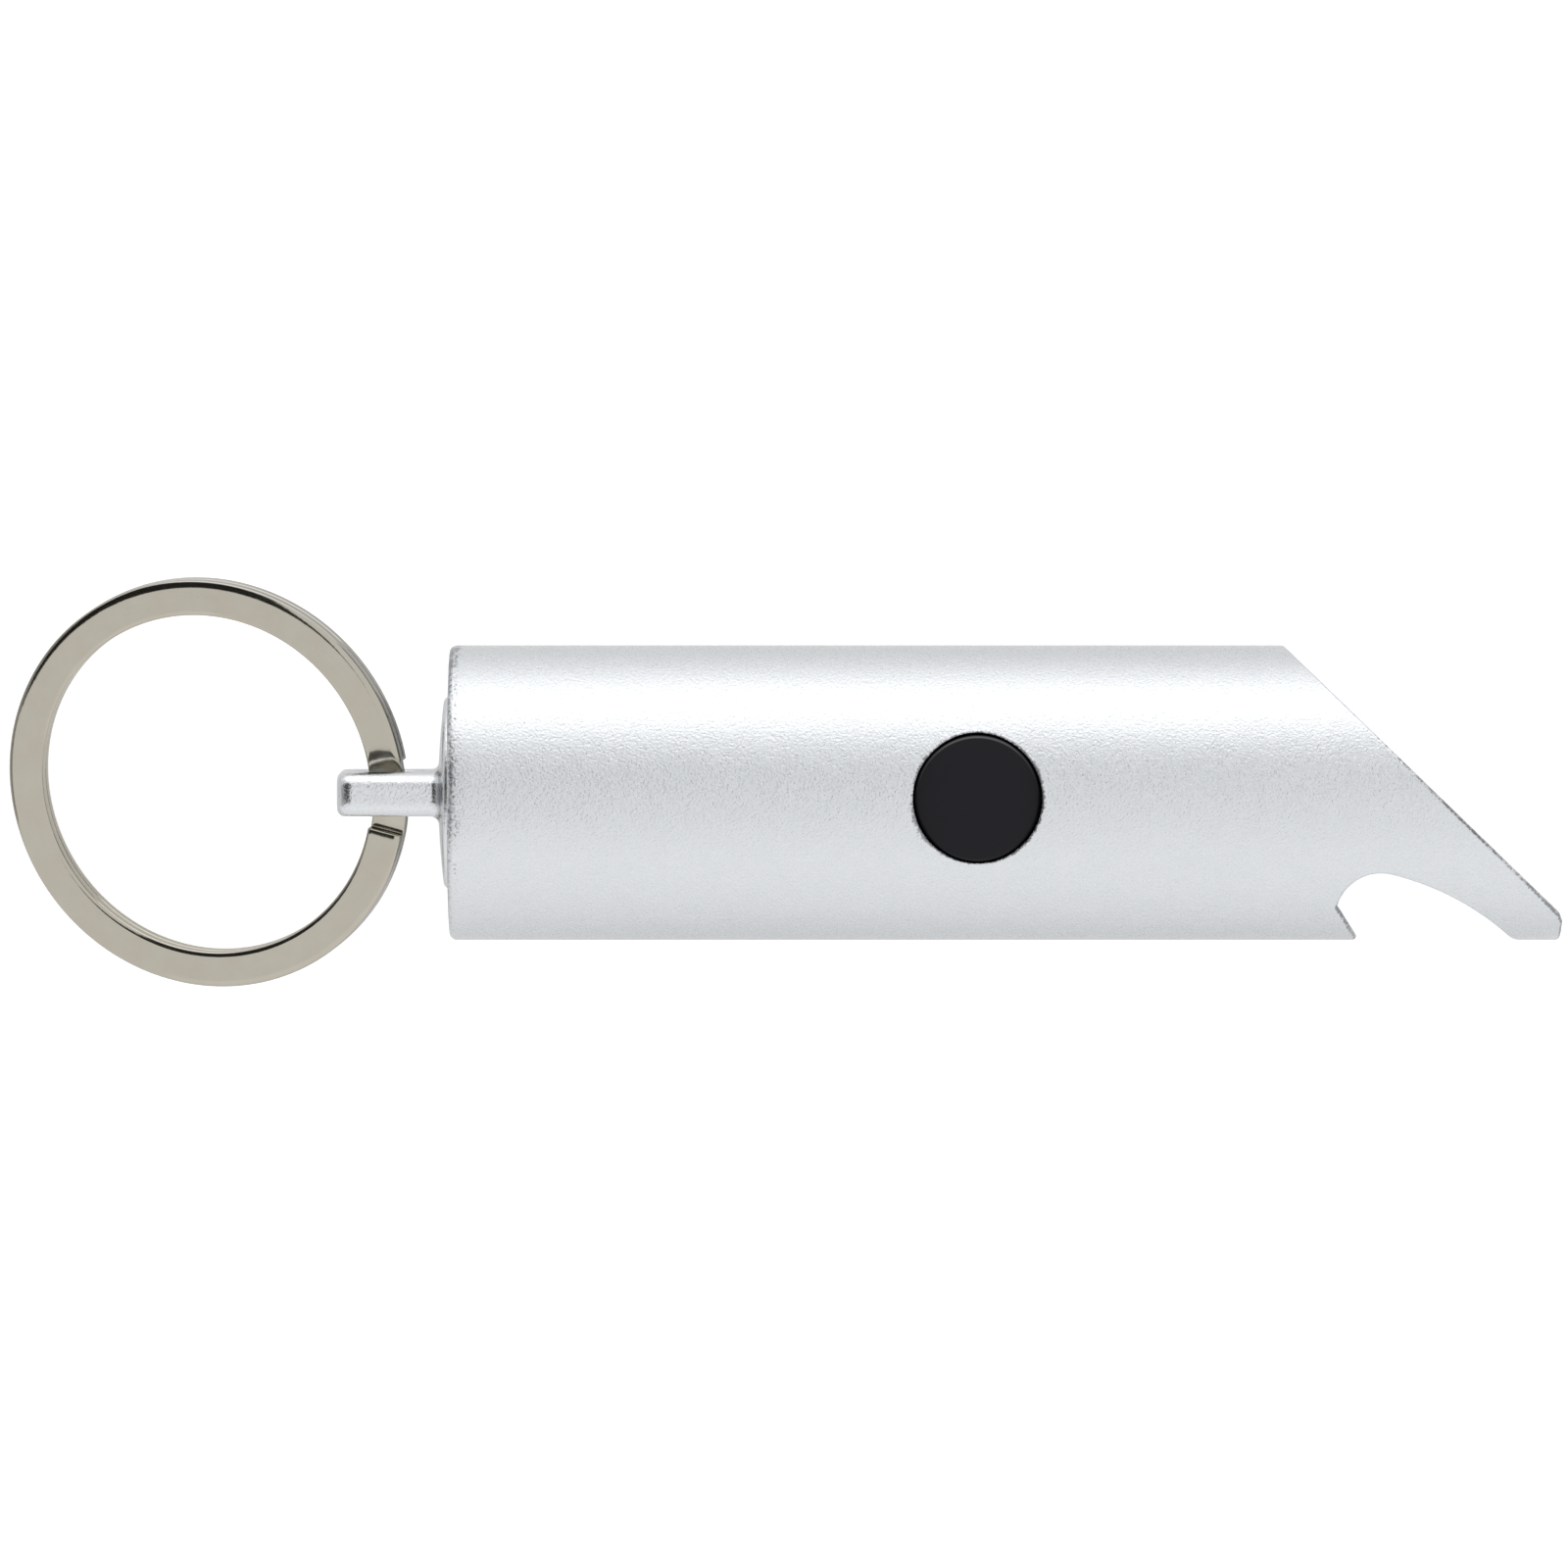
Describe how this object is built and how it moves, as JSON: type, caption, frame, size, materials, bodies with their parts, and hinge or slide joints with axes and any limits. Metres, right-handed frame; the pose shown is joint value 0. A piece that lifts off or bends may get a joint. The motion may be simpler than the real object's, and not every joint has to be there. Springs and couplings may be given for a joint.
{
  "type": "keychain flashlight",
  "caption": "Aluminium keychain flashlight with a side button, a slanted front that holds the lamp, a crown cap opener, and a split ring on its screwed end cap.",
  "frame": {"origin": "on the barrel's axis, below the middle of the button", "axes": "+X along the barrel from the split ring to the opener's tip, +Z out through the button, -Y out of the opener's notch"},
  "size_m": [0.0928, 0.0247, 0.0176],
  "materials": {
    "barrel": "bead-blasted and clear anodised",
    "end_cap": "bead-blasted and clear anodised",
    "seal": "moulded nitrile rubber",
    "spring_steel": "drawn and nickel plated",
    "cell_steel": "pressed steel",
    "sleeve_film": "thin film tube",
    "contact_brass": "pressed sheet",
    "carrier": "moulded",
    "board": "solder mask",
    "switch_black": "moulded",
    "switch_steel": "pressed sheet",
    "tinned": "tinned",
    "resistor": "glazed chip",
    "led_epoxy": "clear cast epoxy",
    "phosphor": "cast",
    "holder": "moulded",
    "window": "polished clear acrylic",
    "button": "matte moulded",
    "ring_nickel": "nickel plated and polished"
  },
  "bodies": {
    "barrel": {"barrel": "barrel", "cell_1": "cell_steel", "cell_2": "cell_steel", "cell_3": "cell_steel", "battery_sleeve": "sleeve_film", "cell_contact": "contact_brass", "ground_contact": "contact_brass", "carrier_base": "carrier", "carrier_cover": "carrier", "circuit_board": "board", "switch_housing": "switch_black", "switch_cover": "switch_steel", "switch_dome": "switch_steel", "switch_terminals": "tinned", "resistor": "resistor", "led_body": "led_epoxy", "led_leads": "tinned", "led_die": "phosphor", "led_holder": "holder", "front_window": "window"},
    "button": {"button": "button", "switch_plunger": "switch_black"},
    "cap_seal": {"cap_o_ring": "seal"},
    "end_cap": {"end_cap": "end_cap", "battery_spring": "spring_steel"},
    "split_ring": {"split_ring": "ring_nickel"}
  },
  "joints": [
    {"name": "button_press", "type": "slide", "parent": "barrel", "child": "button", "axis": [0, 0, -1], "range_m": [0, 0.0004], "stiffness_N_per_m": 2500, "springref_m": -0.0003, "deforming": ["switch_dome"]},
    {"name": "cap_travel", "type": "slide", "parent": "barrel", "child": "cap_seal", "axis": [-1, 0, 0], "range_m": [0, 0.006]},
    {"name": "cap_turn", "type": "hinge", "parent": "cap_seal", "child": "end_cap", "pos_m": [0, 0, 0], "axis": [-1, 0, 0], "range_deg": [0, 2160]},
    {"name": "ring_swing", "type": "hinge", "parent": "end_cap", "child": "split_ring", "pos_m": [-0.03497, 0, 0], "axis": [0, 1, 0], "range_deg": [-72, 106]}
  ],
  "couplings": [
    {"joint": "cap_travel", "follows": "cap_turn", "m_per_rad": 0.000159}
  ]
}
